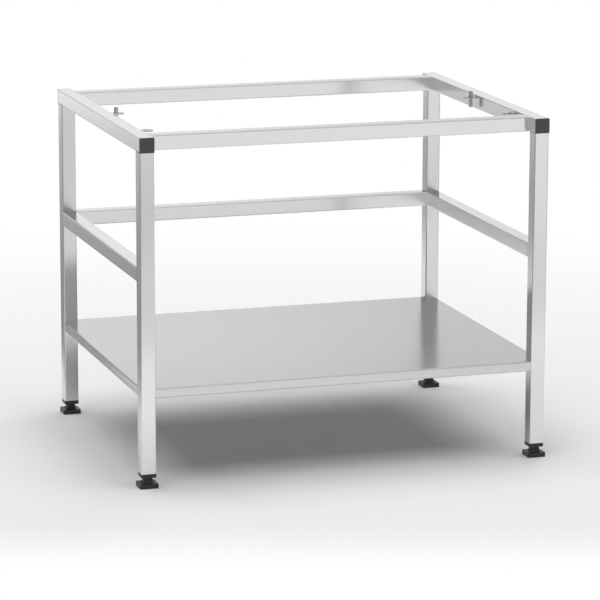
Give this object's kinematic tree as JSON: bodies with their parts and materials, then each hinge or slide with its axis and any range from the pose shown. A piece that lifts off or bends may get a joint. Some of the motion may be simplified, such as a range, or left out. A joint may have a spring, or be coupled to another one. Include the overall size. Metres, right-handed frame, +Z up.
{
  "type": "oven stand",
  "caption": "Open welded stand for a combi oven, with square tube legs and rails, a folded lower shelf, levelling feet that screw out and locating pins beside the top rails.",
  "frame": {"origin": "middle of the footprint, on the floor under the foot pads", "axes": "+X to the right as seen from the front, +Y to the rear, +Z up"},
  "size_m": [0.856, 0.669, 0.708],
  "materials": {
    "frame_steel": "fine ground stainless tube with a soft mirror sheen",
    "shelf_steel": "fine ground stainless sheet with a soft mirror sheen",
    "pin_steel": "turned and polished stainless",
    "screw_steel": "bright zinc plate",
    "cap_plastic": "fine-grained dark grey moulding",
    "foot_plastic": "fine-grained black moulding"
  },
  "bodies": {
    "frame": {"leg_front_left": "frame_steel", "leg_front_right": "frame_steel", "leg_rear_left": "frame_steel", "leg_rear_right": "frame_steel", "end_cap_front_left": "cap_plastic", "end_cap_front_right": "cap_plastic", "end_cap_rear_left": "cap_plastic", "end_cap_rear_right": "cap_plastic", "foot_insert_front_left": "foot_plastic", "foot_insert_front_right": "foot_plastic", "foot_insert_rear_left": "foot_plastic", "foot_insert_rear_right": "foot_plastic", "foot_nut_front_left": "screw_steel", "foot_nut_front_right": "screw_steel", "foot_nut_rear_left": "screw_steel", "foot_nut_rear_right": "screw_steel", "top_rail_left": "frame_steel", "top_rail_right": "frame_steel", "top_rail_front": "frame_steel", "top_rail_rear": "frame_steel", "mid_rail_left": "frame_steel", "mid_rail_right": "frame_steel", "mid_rail_rear": "frame_steel", "shelf": "shelf_steel", "shelf_stiffener": "shelf_steel", "lug_front_left": "frame_steel", "lug_front_right": "frame_steel", "lug_middle_left": "frame_steel", "lug_middle_right": "frame_steel", "locating_pin_left": "pin_steel", "locating_pin_right": "pin_steel"},
    "pad_front_left": {"foot_pad_front_left": "foot_plastic"},
    "spindle_front_left": {"foot_stud_front_left": "screw_steel", "foot_head_front_left": "foot_plastic"},
    "pad_front_right": {"foot_pad_front_right": "foot_plastic"},
    "spindle_front_right": {"foot_stud_front_right": "screw_steel", "foot_head_front_right": "foot_plastic"},
    "pad_rear_left": {"foot_pad_rear_left": "foot_plastic"},
    "spindle_rear_left": {"foot_stud_rear_left": "screw_steel", "foot_head_rear_left": "foot_plastic"},
    "pad_rear_right": {"foot_pad_rear_right": "foot_plastic"},
    "spindle_rear_right": {"foot_stud_rear_right": "screw_steel", "foot_head_rear_right": "foot_plastic"}
  },
  "joints": [
    {"name": "foot_height_front_left", "type": "slide", "parent": "frame", "child": "pad_front_left", "axis": [0, 0, -1], "range_m": [0, 0.021]},
    {"name": "foot_turn_front_left", "type": "hinge", "parent": "pad_front_left", "child": "spindle_front_left", "pos_m": [-0.409, -0.3155, 0.013], "axis": [0, 0, -1], "range_deg": [0, 5040]},
    {"name": "foot_height_front_right", "type": "slide", "parent": "frame", "child": "pad_front_right", "axis": [0, 0, -1], "range_m": [0, 0.021]},
    {"name": "foot_turn_front_right", "type": "hinge", "parent": "pad_front_right", "child": "spindle_front_right", "pos_m": [0.409, -0.3155, 0.013], "axis": [0, 0, -1], "range_deg": [0, 5040]},
    {"name": "foot_height_rear_left", "type": "slide", "parent": "frame", "child": "pad_rear_left", "axis": [0, 0, -1], "range_m": [0, 0.021]},
    {"name": "foot_turn_rear_left", "type": "hinge", "parent": "pad_rear_left", "child": "spindle_rear_left", "pos_m": [-0.409, 0.3155, 0.013], "axis": [0, 0, -1], "range_deg": [0, 5040]},
    {"name": "foot_height_rear_right", "type": "slide", "parent": "frame", "child": "pad_rear_right", "axis": [0, 0, -1], "range_m": [0, 0.021]},
    {"name": "foot_turn_rear_right", "type": "hinge", "parent": "pad_rear_right", "child": "spindle_rear_right", "pos_m": [0.409, 0.3155, 0.013], "axis": [0, 0, -1], "range_deg": [0, 5040]}
  ],
  "couplings": [
    {"joint": "foot_turn_front_left", "follows": "foot_height_front_left", "rad_per_m": 4188.8},
    {"joint": "foot_turn_front_right", "follows": "foot_height_front_right", "rad_per_m": 4188.8},
    {"joint": "foot_turn_rear_left", "follows": "foot_height_rear_left", "rad_per_m": 4188.8},
    {"joint": "foot_turn_rear_right", "follows": "foot_height_rear_right", "rad_per_m": 4188.8}
  ]
}
